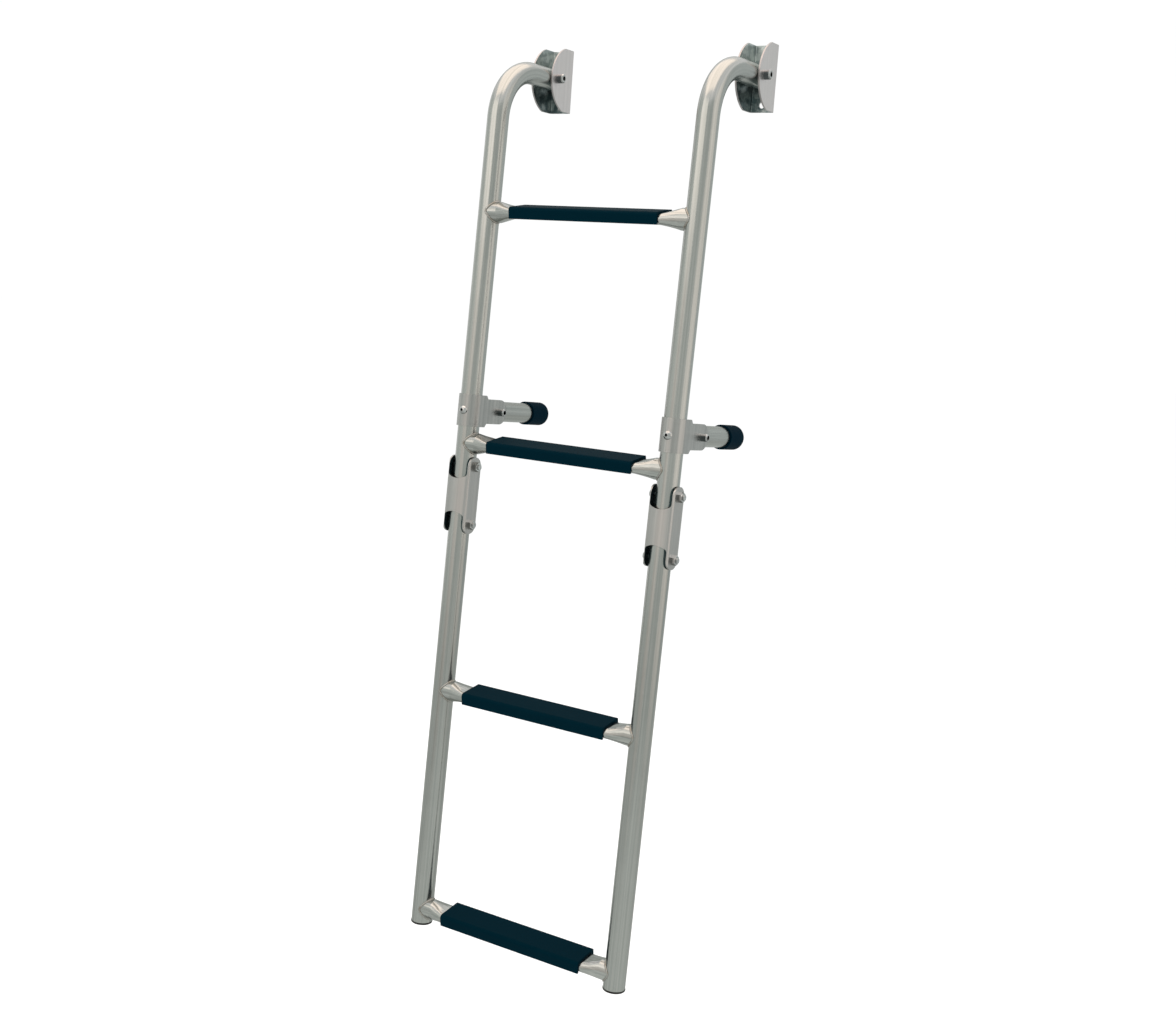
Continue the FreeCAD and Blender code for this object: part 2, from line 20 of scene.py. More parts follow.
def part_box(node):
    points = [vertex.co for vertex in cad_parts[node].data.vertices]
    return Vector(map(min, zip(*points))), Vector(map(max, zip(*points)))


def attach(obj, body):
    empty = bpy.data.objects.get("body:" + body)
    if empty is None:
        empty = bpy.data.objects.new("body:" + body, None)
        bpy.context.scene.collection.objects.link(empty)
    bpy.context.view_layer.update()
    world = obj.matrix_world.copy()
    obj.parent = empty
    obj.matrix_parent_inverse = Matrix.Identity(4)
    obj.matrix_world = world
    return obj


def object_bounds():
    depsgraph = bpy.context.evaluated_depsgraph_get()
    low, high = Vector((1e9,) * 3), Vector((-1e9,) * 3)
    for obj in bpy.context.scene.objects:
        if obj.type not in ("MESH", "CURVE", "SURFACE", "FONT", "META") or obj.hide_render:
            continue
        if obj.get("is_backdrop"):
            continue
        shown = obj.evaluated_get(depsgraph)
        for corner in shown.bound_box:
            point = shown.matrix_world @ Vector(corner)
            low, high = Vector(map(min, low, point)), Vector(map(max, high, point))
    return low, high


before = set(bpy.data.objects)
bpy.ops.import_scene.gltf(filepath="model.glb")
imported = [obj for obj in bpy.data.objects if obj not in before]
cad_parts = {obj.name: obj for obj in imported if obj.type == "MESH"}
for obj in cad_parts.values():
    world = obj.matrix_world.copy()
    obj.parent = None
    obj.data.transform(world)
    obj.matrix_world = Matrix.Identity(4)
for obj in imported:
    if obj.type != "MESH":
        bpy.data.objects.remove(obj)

LOG = logging.getLogger("ladder")
SIDES = ("left", "right")

# A step is the value where a soft step starts and the value where it ends
Step = tuple[float, float]
Colour = tuple[float, float, float]
Number = Union["Signal", float]
Tint = Union["Signal", Colour]
GridPoint = Callable[[int, int], Vector]

# How the ladder hangs: it leans out about the pivot bolts, and its rails bend at the top
PIVOT_Y = -0.0305
LEAN = math.radians(3.5)
RAIL_FROM_PIVOT = 0.095
RAIL_RADIUS = 0.0125
BEND_RADIUS = 0.062
RUNG_RADIUS = 0.012
RAIL_FRONT_Y = PIVOT_Y - RAIL_FROM_PIVOT - RAIL_RADIUS


class Signal:
    """A number that varies over a surface: arithmetic on it adds Math nodes."""

    def __init__(self, tree: "ShaderTree", socket: bpy.types.NodeSocket) -> None:
        """Keep the tree and the output socket that carries the number.

        Args:
            tree: The tree that new nodes are added to.
            socket: The output socket.
        """
        self.tree = tree
        self.socket = socket

    def _math(self, operation: str, first: Number, second: Number = 0.0) -> "Signal":
        """Return the result of one Math node."""
        return self.tree.node("ShaderNodeMath", {"operation": operation}, {0: first, 1: second})

    def __add__(self, other: Number) -> "Signal":
        """Return the sum."""
        return self._math("ADD", self, other)

    def __radd__(self, other: Number) -> "Signal":
        """Return the sum with a plain number on the left."""
        return self._math("ADD", other, self)

    def __sub__(self, other: Number) -> "Signal":
        """Return the difference."""
        return self._math("SUBTRACT", self, other)

    def __rsub__(self, other: Number) -> "Signal":
        """Return a plain number less this signal."""
        return self._math("SUBTRACT", other, self)

    def __mul__(self, other: Number) -> "Signal":
        """Return the product."""
        return self._math("MULTIPLY", self, other)

    def __rmul__(self, other: Number) -> "Signal":
        """Return the product with a plain number on the left."""
        return self._math("MULTIPLY", other, self)

    def __truediv__(self, other: Number) -> "Signal":
        """Return the quotient."""
        return self._math("DIVIDE", self, other)

    def __neg__(self) -> "Signal":
        """Return the signal with its sign turned."""
        return self._math("MULTIPLY", self, -1.0)

    def __abs__(self) -> "Signal":
        """Return the size of the signal without its sign."""
        return self._math("ABSOLUTE", self)

    def sign(self) -> "Signal":
        """Return -1, 0 or 1, as the signal stands to zero."""
        return self._math("SIGN", self)

    def least(self, other: Number) -> "Signal":
        """Return the lesser of the two."""
        return self._math("MINIMUM", self, other)

    def most(self, other: Number) -> "Signal":
        """Return the greater of the two."""
        return self._math("MAXIMUM", self, other)

    def clamped(self) -> "Signal":
        """Return the signal held between 0 and 1."""
        return self.most(0.0).least(1.0)

    def swing(self, width: Number) -> "Signal":
        """Return a signal of 0 to 1 as a swing of this width about zero."""
        return (self - 0.5) * width

    def length_with(self, other: "Signal") -> "Signal":
        """Return the length of the vector that has this signal and another as its sides."""
        return self._math("SQRT", self * self + other * other)

    def angle_over(self, other: "Signal") -> "Signal":
        """Return the angle whose tangent is this signal over another."""
        return self._math("ARCTAN2", self, other)

    def rising(self, low: float, high: float) -> "Signal":
        """Return a soft step that climbs from 0 at low to 1 at high."""
        inputs = {"Value": self, "From Min": low, "From Max": high}
        return self.tree.node("ShaderNodeMapRange", {"interpolation_type": "SMOOTHSTEP"}, inputs)

    def falling(self, low: float, high: float) -> "Signal":
        """Return a soft step that drops from 1 at low to 0 at high."""
        return 1.0 - self.rising(low, high)


def greatest(signals: Sequence[Signal]) -> Signal:
    """Return the greatest of several signals."""
    return reduce(Signal.most, signals)


@dataclass(frozen=True)
class Pattern:
    """Smooth noise: its waves in a metre, its octaves of finer noise and the share of each octave."""

    per_metre: float
    octaves: float
    share: float


class ShaderTree:
    """A material's node tree, built from Python expressions."""

    MIX_FACTOR, MIX_A, MIX_B, MIX_RESULT = 0, 6, 7, 2
    BEVEL_SAMPLES = 6

    def __init__(self, name: str) -> None:
        """Make a material with an empty node tree.

        Args:
            name: The material's name.
        """
        self.material = bpy.data.materials.new(name)
        self.material.use_nodes = True
        self.nodes = self.material.node_tree.nodes
        self.links = self.material.node_tree.links
        self.nodes.clear()

    def node(
        self,
        kind: str,
        settings: Mapping[str, Any],
        inputs: Mapping[Union[int, str], Any],
        output: Union[int, str] = 0,
    ) -> Signal:
        """Add one node.

        Args:
            kind: The node's type.
            settings: Its properties, which are set first.
            inputs: The values or links of its sockets, by number or name.
            output: The output that the result carries.

        Returns:
            The chosen output.
        """
        node = self.nodes.new(kind)
        for key, value in settings.items():
            setattr(node, key, value)
        for key, value in inputs.items():
            if isinstance(value, Signal):
                self.links.new(value.socket, node.inputs[key])
            else:
                node.inputs[key].default_value = value
        return Signal(self, node.outputs[output])

    def mix(self, first: Tint, second: Tint, factor: Number) -> Signal:
        """Blend two colours.

        Args:
            first: The colour where the factor is 0.
            second: The colour where it is 1.
            factor: The share of the second colour.

        Returns:
            The blend.
        """
        sides = [side if isinstance(side, Signal) else (*side, 1.0) for side in (first, second)]
        inputs = {self.MIX_FACTOR: factor, self.MIX_A: sides[0], self.MIX_B: sides[1]}
        return self.node("ShaderNodeMix", {"data_type": "RGBA"}, inputs, self.MIX_RESULT)

    def join(self, x: Number, y: Number, z: Number) -> Signal:
        """Return a vector made of three numbers."""
        return self.node("ShaderNodeCombineXYZ", {}, {0: x, 1: y, 2: z})

    def split(self, vector: Signal) -> tuple[Signal, Signal, Signal]:
        """Return the three numbers of a vector."""
        node = self.node("ShaderNodeSeparateXYZ", {}, {0: vector}).socket.node
        return tuple(Signal(self, node.outputs[index]) for index in range(3))

    def place(self) -> tuple[Signal, Signal, Signal]:
        """Return the surface point in the part's frame, as three numbers."""
        return self.split(self.node("ShaderNodeTexCoord", {}, {}, "Object"))

    def facing(self) -> tuple[Signal, Signal, Signal]:
        """Return which way the surface faces in the part's frame, as three numbers."""
        return self.split(self.node("ShaderNodeTexCoord", {}, {}, "Normal"))

    def upright_place(self) -> tuple[Signal, Signal, Signal]:
        """Take the ladder's lean out of the surface point, so that the rails stand upright.

        Returns:
            The point's three numbers.
        """
        x, y, z = self.place()
        out = y - PIVOT_Y
        y_up = PIVOT_Y + out * math.cos(LEAN) - z * math.sin(LEAN)
        z_up = out * math.sin(LEAN) + z * math.cos(LEAN)
        return x, y_up, z_up

    def noise(self, vector: Signal, pattern: Pattern) -> Signal:
        """Return smooth noise from 0 to 1, read at a vector in metres."""
        scale = {"Scale": pattern.per_metre, "Detail": pattern.octaves, "Roughness": pattern.share}
        return self.node("ShaderNodeTexNoise", {}, {"Vector": vector, **scale})

    def bump(self, height: Signal, distance: float, edge_radius: float = 0.0) -> Signal:
        """Roughen the surface.

        Args:
            height: The pattern of the bumps, from 0 to 1.
            distance: How high they are, in metres.
            edge_radius: The radius that sharp edges are seen to have.

        Returns:
            Which way the bumpy surface faces.
        """
        inputs = {"Strength": 1.0, "Distance": distance, "Height": height}
        if edge_radius > 0.0:
            settings = {"samples": self.BEVEL_SAMPLES}
            inputs["Normal"] = self.node("ShaderNodeBevel", settings, {"Radius": edge_radius})
        return self.node("ShaderNodeBump", {}, inputs)

    def principled(self, inputs: Mapping[str, Any]) -> bpy.types.Material:
        """Return the material with a principled shader that has these inputs."""
        return self.finish(self.node("ShaderNodeBsdfPrincipled", {}, inputs))

    def finish(self, shader: Signal) -> bpy.types.Material:
        """Wire the shader to the output.

        Args:
            shader: The shader's output.

        Returns:
            The finished material.
        """
        output = self.nodes.new("ShaderNodeOutputMaterial")
        self.links.new(shader.socket, output.inputs["Surface"])
        return self.material


def shaded(colour: Colour, share: float) -> Colour:
    """Return a colour brought down to a share of itself."""
    return tuple(share * part for part in colour)


def node_centre(node: str) -> Vector:
    """Return the middle of a node's box."""
    low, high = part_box(node)
    return (low + high) / 2


def frame_middle() -> float:
    """Return X halfway between the rails."""
    return node_centre("rung_1").x


def upright_height(point: Vector) -> float:
    """Return how high a point stands once the ladder's lean is taken out."""
    return (point.y - PIVOT_Y) * math.sin(LEAN) + point.z * math.cos(LEAN)


def upright_to_frame(point: Vector, about: Vector) -> Vector:
    """Turn a point out of the upright ladder's directions about a place on the leaning one."""
    return about + Matrix.Rotation(-LEAN, 3, "X") @ point


class Grain(Enum):
    """The way in which a steel surface was drawn, rolled or turned."""

    RAIL = "along a rail and round its bend"
    RUNG = "along a rung"
    LEG = "along a stand-off leg"
    LEANING_SHEET = "up a sheet that hangs with the rails"
    WALL_SHEET = "up a sheet that is screwed to the wall"


def rail_grain(tree: ShaderTree) -> tuple[Signal, Signal, Signal]:
    """Follow a rail up its straight length, round its bend and on towards the wall.

    Args:
        tree: The material's tree.

    Returns:
        Two distances across the rail and one along it, in metres.
    """
    x, y, z = tree.upright_place()
    bend_y = PIVOT_Y - RAIL_FROM_PIVOT + BEND_RADIUS
    bend_z = -RAIL_FROM_PIVOT * math.tan(LEAN) - BEND_RADIUS * math.tan((math.pi / 2 - LEAN) / 2)
    back = (bend_y - y).most(0.0)
    rise = (z - bend_z).most(0.0)
    turn = rise.angle_over(back) * BEND_RADIUS
    along = turn + (z - bend_z).least(0.0) + (y - bend_y).most(0.0)
    return x, back.length_with(rise), along


def grain_vector(tree: ShaderTree, grain: Grain) -> tuple[Signal, Signal, Signal]:
    """Lay the surface point out along its grain.

    Args:
        tree: The material's tree.
        grain: The way the grain runs.

    Returns:
        Two distances across the grain and one along it, in metres.
    """
    if grain is Grain.RAIL:
        return rail_grain(tree)
    if grain is Grain.WALL_SHEET:
        return tree.place()
    x, y, z = tree.upright_place()
    if grain is Grain.RUNG:
        return y, z, x
    if grain is Grain.LEG:
        return x, z, y
    return x, y, z


class Look(ABC):
    """Something that a steel piece shows besides its grain."""

    @abstractmethod
    def over(self, tree: ShaderTree, colour: Signal, haze: Signal) -> Signal:
        """Lay the look over the colour of the plain steel.

        Args:
            tree: The material's tree.
            colour: The colour of the plain steel.
            haze: The slow noise of its haze, from 0 to 1.

        Returns:
            The colour with the look.
        """


@dataclass(frozen=True)
class WeldHeat(Look):
    """The tint that the heat of the rungs' welds leaves on the inner sides of the rails."""

    rungs: tuple[int, ...]
    tint: Colour = (0.36, 0.335, 0.30)
    strength: float = 0.25
    haze_strength: float = 0.3
    ring_step: Step = (0.0004, 0.0045)
    inner_side_step: Step = (-0.002, 0.006)

    def over(self, tree: ShaderTree, colour: Signal, haze: Signal) -> Signal:
        """Tint a ring round each rung.

        Args:
            tree: The material's tree.
            colour: The colour of the plain steel.
            haze: The slow noise of its haze, from 0 to 1.

        Returns:
            The tinted colour.
        """
        x, y, z = tree.place()
        centre = frame_middle()
        inner_side = (abs(x - centre) - (centre - RAIL_RADIUS)).falling(*self.inner_side_step)
        rings = []
        for rung in self.rungs:
            middle = node_centre("rung_%d" % rung)
            distance = abs((y - middle.y).length_with(z - middle.z) - RUNG_RADIUS)
            rings.append(distance.falling(*self.ring_step))
        heat = greatest(rings) * inner_side
        return tree.mix(colour, self.tint, heat * (self.strength + self.haze_strength * haze))


@dataclass(frozen=True)
class PaintedInsideShade(Look):
    """Painted shade on the inside of a folded sheet, where it faces the rail, with its duller sheared edges.

    With a lit colour, the inside gets blotches of painted reflection and turns to painted light towards the
    top.
    """

    # The colour of the painted shade inside, and the lit colour of the painted light near the top
    colour: Colour
    lit: Optional[Colour] = None
    sheared: Optional[Colour] = None
    strength: float = 0.8
    haze_strength: float = 0.2
    reflection_mottle: Pattern = Pattern(130.0, 3.0, 0.55)
    mottle_step: Step = (0.44, 0.64)
    mottle_share: float = 0.6
    painted_top_light_step: Step = (-0.012, 0.022)
    painted_top_light_share: float = 0.5
    haze_share: float = 0.3
    edge_step: Step = (0.3, 0.8)
    cheek_step: Step = (0.3, 0.7)
    plate_step: Step = (0.5, 0.8)
    plate_front_step: Step = (-0.0035, -0.0025)

    def mask(self, tree: ShaderTree) -> Signal:
        """Find where the sheet faces the rail: the inner sides of its cheeks and its back plate.

        Args:
            tree: The material's tree.

        Returns:
            One on the inside and nothing elsewhere.
        """
        x, y, _ = tree.place()
        across, deep, _ = tree.facing()
        from_middle = x - frame_middle()
        side = from_middle.sign()
        from_rail = from_middle * side - frame_middle()
        inward = -(from_rail * across * side) / RAIL_RADIUS
        plate = (-deep).rising(*self.plate_step) * y.rising(*self.plate_front_step)
        return inward.rising(*self.cheek_step).most(plate)

    def inside_shade_and_light(self, tree: ShaderTree, haze: Signal) -> Tint:
        """Work out the painted shade of the inside, with its painted light and painted reflections.

        Args:
            tree: The material's tree.
            haze: The slow noise of the steel's haze, from 0 to 1.

        Returns:
            The plain painted shade, or its blend with the painted light.
        """
        if self.lit is None:
            return self.colour
        x, y, z = tree.place()
        # Blotches of painted reflection, and painted light towards the top, lift the painted shade
        reflection_mottle = tree.noise(tree.join(x, y, z), self.reflection_mottle).rising(*self.mottle_step)
        pale = z.rising(*self.painted_top_light_step) * self.painted_top_light_share + reflection_mottle * self.mottle_share
        return tree.mix(self.colour, self.lit, (pale + haze.swing(self.haze_share)).clamped())

    def over(self, tree: ShaderTree, colour: Signal, haze: Signal) -> Signal:
        """Dull the sheared edges and paint shade over the inside.

        Args:
            tree: The material's tree.
            colour: The colour of the plain steel.
            haze: The slow noise of its haze, from 0 to 1.

        Returns:
            The colour with its dull edges and painted shade.
        """
        if self.sheared is not None:
            across, _, _ = tree.facing()
            colour = tree.mix(colour, self.sheared, abs(across).falling(*self.edge_step))
        factor = self.mask(tree) * (self.strength + self.haze_strength * haze)
        return tree.mix(colour, self.inside_shade_and_light(tree, haze), factor)


@dataclass(frozen=True)
class CapSocket:
    """The barrel cap at the right-hand end of a bolt that runs along X, and the socket in it."""

    node: str
    barrel_radius: float
    barrel_length: float
    radius: float = 0.0027
    depth: float = 0.0030
    rim: float = 0.00015
    floor_gap: float = 0.0001
    floor_blur: float = 0.0004
    mouth_blur: float = 0.0005
    barrel_blur: float = 0.0004
    end_gap: float = 0.0001
    end_blur: float = 0.0003
    shaded_side_step: Step = (0.25, 0.65)
    flat_end_step: Step = (0.4, 0.8)

    def from_axis(self, y: Signal, z: Signal) -> Signal:
        """Return the distance from the bolt's axis."""
        middle = node_centre(self.node)
        return (y - middle.y).length_with(z - middle.z)

    def mask(self, tree: ShaderTree) -> Signal:
        """Find the socket, which gets painted shade.

        Args:
            tree: The material's tree.

        Returns:
            One in the socket and nothing outside it.
        """
        x, y, z = tree.place()
        _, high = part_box(self.node)
        floor = high.x - self.depth
        out = self.from_axis(y, z).falling(self.radius, self.radius + self.rim)
        above_floor = x.rising(floor - self.floor_blur, floor - self.floor_gap)
        return out * above_floor * x.falling(high.x - self.mouth_blur, high.x)

    def painted_barrel_shade_mask(self, tree: ShaderTree) -> Signal:
        """Find the side of the cap that looks away from the light, which gets painted shade.

        Args:
            tree: The material's tree.

        Returns:
            One on the cap's shaded side and nothing elsewhere.
        """
        x, y, z = tree.place()
        across, _, up = tree.facing()
        _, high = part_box(self.node)
        start = high.x - self.barrel_length
        out = self.from_axis(y, z).falling(self.barrel_radius, self.barrel_radius + self.barrel_blur)
        along = x.rising(start, start + self.rim) * x.falling(high.x + self.end_gap, high.x + self.end_blur)
        shaded_side = up.falling(*self.shaded_side_step) * abs(across).falling(*self.flat_end_step)
        return out * along * shaded_side


@dataclass(frozen=True)
class RivetBore:
    """The bore in the dome of a rivet that looks out to the front."""

    node: str
    radius: float = 0.0016
    rim: float = 0.00015

    def mask(self, tree: ShaderTree) -> Signal:
        """Find the bore, which gets painted shade.

        Args:
            tree: The material's tree.

        Returns:
            One in the bore and nothing outside it.
        """
        x, _, z = tree.upright_place()
        middle = node_centre(self.node)
        out = (x - middle.x).length_with(z - upright_height(middle))
        return out.falling(self.radius, self.radius + self.rim)


@dataclass(frozen=True)
class FastenerShade(Look):
    """Bolts and rivets: painted highlight on top, painted shade round the sides, below and in sockets and
    bores.
    """

    sockets: tuple[CapSocket, ...]
    bores: tuple[RivetBore, ...]
    # Colour of the painted shade below and beside
    under: Colour
    # Colour of the painted highlight on surfaces that face up
    top: Colour = (0.97, 0.97, 0.96)
    # Colour of the painted shade on the caps' barrels
    barrel: Colour = (0.085, 0.105, 0.110)
    # Colour of the painted shade in sockets and bores
    hollow: Colour = (0.030, 0.035, 0.036)
    painted_top_light_step: Step = (0.7, 0.98)
    painted_highlight_strength: float = 0.7
    round_step: Step = (0.4, 0.8)
    side_step: Step = (0.3, 0.8)
    below_step: Step = (0.0, 0.9)
    painted_under_shade_strength: float = 0.65
    rivet_blur: float = 0.001
    painted_barrel_shade_strength: float = 0.85

    def painted_under_shade_mask(self, tree: ShaderTree, across: Signal, up: Signal) -> Signal:
        """Find the undersides, and the round sides of all that stands behind the rails' front, which get
        painted shade.

        Args:
            tree: The material's tree.
            across: How far the surface faces along X.
            up: How far it faces up.

        Returns:
            One on these places and nothing elsewhere.
        """
        _, y_up, _ = tree.upright_place()
        behind_rivets = y_up.rising(RAIL_FRONT_Y - self.rivet_blur, RAIL_FRONT_Y)
        side = abs(across).falling(*self.round_step) * up.falling(*self.side_step) * behind_rivets
        return (-up).rising(*self.below_step).most(side)

    def over(self, tree: ShaderTree, colour: Signal, haze: Signal) -> Signal:
        """Lay the light from above and the shade over the steel.

        Args:
            tree: The material's tree.
            colour: The colour of the plain steel.
            haze: The slow noise of its haze, which this look leaves out.

        Returns:
            The colour with light and shade.
        """
        across, _, up = tree.facing()
        painted_barrel_shades = greatest([socket.painted_barrel_shade_mask(tree) for socket in self.sockets])
        painted_hollow_shades = greatest([hollow.mask(tree) for hollow in (*self.sockets, *self.bores)])
        # Painted highlight on top
        colour = tree.mix(colour, self.top, up.rising(*self.painted_top_light_step) * self.painted_highlight_strength)
        # Painted shade below and on the round sides
        colour = tree.mix(colour, self.under, self.painted_under_shade_mask(tree, across, up) * self.painted_under_shade_strength)
        # Painted shade on the caps' barrels
        colour = tree.mix(colour, self.barrel, painted_barrel_shades * self.painted_barrel_shade_strength)
        # Painted shade in sockets and bores
        return tree.mix(colour, self.hollow, painted_hollow_shades)


@dataclass(frozen=True)
class SteelFinish:
    """Stainless steel with a drawn or brushed grain, slight haze and fine scratches."""

    name: str
    grain: Grain
    dark: Colour
    light: Colour
    roughness: float
    look: Optional[Look] = None
    streaks: Pattern = Pattern(260.0, 3.0, 0.6)
    fine_streaks: Pattern = Pattern(2600.0, 2.0, 0.6)
    haze: Pattern = Pattern(34.0, 4.0, 0.6)
    specks: Pattern = Pattern(900.0, 3.0, 0.65)
    stretch: float = 0.012
    streak_contrast: float = 1.5
    haze_contrast: float = 0.3
    mark_step: Step = (0.66, 0.74)
    mark_shade: float = 0.72
    mark_strength: float = 0.18
    streak_roughness: float = 0.07
    haze_roughness: float = 0.05
    fine_roughness: float = 0.08
    mark_roughness: float = 0.04
    least_roughness: float = 0.08
    bump_height: float = 0.000012
    speck_height: float = 0.06
    edge_radius: float = 0.0003

    def material(self) -> bpy.types.Material:
        """Make the finish.

        Returns:
            Its material.
        """
        tree = ShaderTree(self.name)
        first, second, along = grain_vector(tree, self.grain)
        point = tree.join(first, second, along)
        stretched = tree.join(first, second, along * self.stretch)
        streak = tree.noise(stretched, self.streaks)
        fine = tree.noise(stretched, self.fine_streaks)
        haze = tree.noise(point, self.haze)
        specks = tree.noise(point, self.specks)
        marks = specks.rising(*self.mark_step)

        shade = streak.swing(self.streak_contrast) + haze.swing(self.haze_contrast) + 0.5
        colour = tree.mix(self.dark, self.light, shade.clamped())
        colour = tree.mix(colour, shaded(self.dark, self.mark_shade), marks * self.mark_strength)
        if self.look is not None:
            colour = self.look.over(tree, colour, haze)

        rough = self.roughness + streak.swing(self.streak_roughness) + haze.swing(self.haze_roughness)
        rough = rough + marks * self.mark_roughness + fine.swing(self.fine_roughness)
        rough = rough.most(self.least_roughness)
        bump = tree.bump(fine + specks.swing(self.speck_height), self.bump_height, self.edge_radius)
        return tree.principled({"Base Color": colour, "Roughness": rough, "Metallic": 1.0, "Normal": bump})


@dataclass(frozen=True)
class MouldedFinish:
    """A dark moulded skin: plastic covers and plugs, or rubber tips."""

    name: str
    colour: Colour
    worn: Colour
    sheen: Colour
    roughness: float
    specular: float
    pebbles: Pattern = Pattern(2400.0, 2.0, 0.55)
    flow: Pattern = Pattern(90.0, 4.0, 0.6)
    flow_stretch: float = 0.2
    scuffs: Pattern = Pattern(420.0, 4.0, 0.7)
    scuff_stretch: float = 0.35
    scuff_step: Step = (0.58, 0.74)
    scuff_share: float = 0.25
    flow_share: float = 0.5
    flow_roughness: float = 0.16
    pebble_roughness: float = 0.10
    scuff_roughness: float = 0.08
    grain_height: float = 0.00003
    scuff_height: float = 0.3
    edge_radius: float = 0.0006

    def material(self) -> bpy.types.Material:
        """Make the finish.

        Returns:
            Its material.
        """
        tree = ShaderTree(self.name)
        x, y, z = tree.upright_place()
        pebble = tree.noise(tree.join(x, y, z), self.pebbles)
        flow = tree.noise(tree.join(x * self.flow_stretch, y, z), self.flow)
        scuff = tree.noise(tree.join(x * self.scuff_stretch, y, z), self.scuffs).rising(*self.scuff_step)
        worn = (scuff * self.scuff_share + flow.swing(self.flow_share)).clamped()
        rough = self.roughness + flow.swing(self.flow_roughness) + pebble.swing(self.pebble_roughness)
        inputs = {
            "Base Color": tree.mix(self.colour, self.worn, worn),
            "Roughness": rough + scuff * self.scuff_roughness,
            "Specular IOR Level": self.specular,
            "Specular Tint": (*self.sheen, 1.0),
            "Normal": tree.bump(pebble + scuff * self.scuff_height, self.grain_height, self.edge_radius),
        }
        return tree.principled(inputs)


@dataclass(frozen=True)
class WeldFinish:
    """A stainless weld bead with the straw and grey tints that its heat leaves."""

    name: str = "weld_bead"
    silver: Colour = (0.42, 0.41, 0.39)
    straw: Colour = (0.30, 0.27, 0.225)
    patches: Pattern = Pattern(320.0, 3.0, 0.6)
    straw_step: Step = (0.38, 0.66)
    grit: Pattern = Pattern(2800.0, 2.0, 0.6)
    grit_height: float = 0.00003
    roughness: float = 0.34
    grit_roughness: float = 0.2

    def material(self) -> bpy.types.Material:
        """Make the finish.

        Returns:
            Its material.
        """
        tree = ShaderTree(self.name)
        point = tree.join(*tree.upright_place())
        patch = tree.noise(point, self.patches)
        grit = tree.noise(point, self.grit)
        colour = tree.mix(self.silver, self.straw, patch.rising(*self.straw_step))
        rough = self.roughness + grit.swing(self.grit_roughness)
        bump = tree.bump(grit, self.grit_height)
        return tree.principled({"Base Color": colour, "Roughness": rough, "Metallic": 1.0, "Normal": bump})


# Tubes: satin, with long fine streaks
TUBE_STEEL = SteelFinish(
    name="tube_steel",
    grain=Grain.RAIL,
    dark=(0.335, 0.347, 0.330),
    light=(0.515, 0.515, 0.490),
    roughness=0.22,
    streaks=Pattern(380.0, 3.0, 0.6),
    stretch=0.006,
    streak_contrast=1.6,
)
RUNG_STEEL = replace(TUBE_STEEL, name="rung_steel", grain=Grain.RUNG, roughness=0.17, streak_contrast=2.1)
LEG_STEEL = replace(TUBE_STEEL, name="leg_steel", grain=Grain.LEG)

# Folded sheet: paler and brushed, with painted shade on the inside
LINK_STEEL = SteelFinish(
    name="link_sheet_steel",
    grain=Grain.LEANING_SHEET,
    dark=(0.39, 0.386, 0.376),
    light=(0.53, 0.516, 0.497),
    roughness=0.34,
    bump_height=0.00002,
    # Painted shade on the links' inside
    look=PaintedInsideShade((0.045, 0.105, 0.125)),
)
# A darker copy of the link steel with more streak contrast: the darker tone is painted shade on the clamps
SHADED_CLAMP_STEEL = replace(
    LINK_STEEL,
    name="clamp_sheet_steel",
    dark=(0.325, 0.330, 0.320),
    light=(0.485, 0.478, 0.462),
    streak_contrast=2.2,
)
# A paler copy of the link steel for the brackets: the paler tone is painted light
BRACKET_DARK = (0.62, 0.58, 0.575)
SHEARED_SHADE = 0.68
LIT_BRACKET_STEEL = replace(
    LINK_STEEL,
    name="wall_sheet_steel",
    grain=Grain.WALL_SHEET,
    dark=BRACKET_DARK,
    light=(0.72, 0.675, 0.67),
    # Painted shade on the inside, turning to painted light towards the top
    look=PaintedInsideShade(
        (0.12, 0.18, 0.19),
        lit=(0.60, 0.65, 0.63),
        sheared=shaded(BRACKET_DARK, SHEARED_SHADE),
    ),
)

# Bolts and rivets: bright, with barrel caps of two sizes
FASTENER_DARK = (0.38, 0.38, 0.37)
UNDER_SHADE = 0.3
BRACKET_SOCKETS = tuple(CapSocket(side + "_bracket_bolt", 0.0054, 0.0070) for side in SIDES)
STANDOFF_SOCKETS = tuple(CapSocket(side + "_standoff_bolt", 0.0044, 0.0075) for side in SIDES)
BRIGHT_STEEL = SteelFinish(
    name="bright_steel",
    grain=Grain.RUNG,
    dark=FASTENER_DARK,
    light=(0.68, 0.68, 0.67),
    roughness=0.12,
    stretch=0.6,
    streak_contrast=2.2,
    edge_radius=0.0002,
    # Painted highlight on top, and painted shade below, beside, on the caps' barrels and in sockets and bores
    look=FastenerShade(
        sockets=BRACKET_SOCKETS + STANDOFF_SOCKETS,
        bores=tuple(RivetBore(side + "_clamp_rivet") for side in SIDES),
        under=shaded(FASTENER_DARK, UNDER_SHADE),
    ),
)

# Moulded pieces, with the tints of their faint sheen
TEAL_SHEEN = (0.12, 0.75, 1.0)
STRAW_SHEEN = (1.0, 0.9, 0.8)
TREAD_PLASTIC = MouldedFinish(
    name="tread_plastic",
    colour=(0.0002, 0.0115, 0.019),
    worn=(0.001, 0.016, 0.024),
    sheen=TEAL_SHEEN,
    roughness=0.50,
    specular=0.014,
)
TIP_RUBBER = MouldedFinish(
    name="tip_rubber",
    colour=(0.0002, 0.0082, 0.0155),
    worn=(0.001, 0.012, 0.019),
    sheen=TEAL_SHEEN,
    roughness=0.55,
    specular=0.016,
)
PLUG_PLASTIC = MouldedFinish(
    name="plug_plastic",
    colour=(0.010, 0.010, 0.009),
    worn=(0.02, 0.019, 0.017),
    sheen=STRAW_SHEEN,
    roughness=0.46,
    specular=0.20,
)


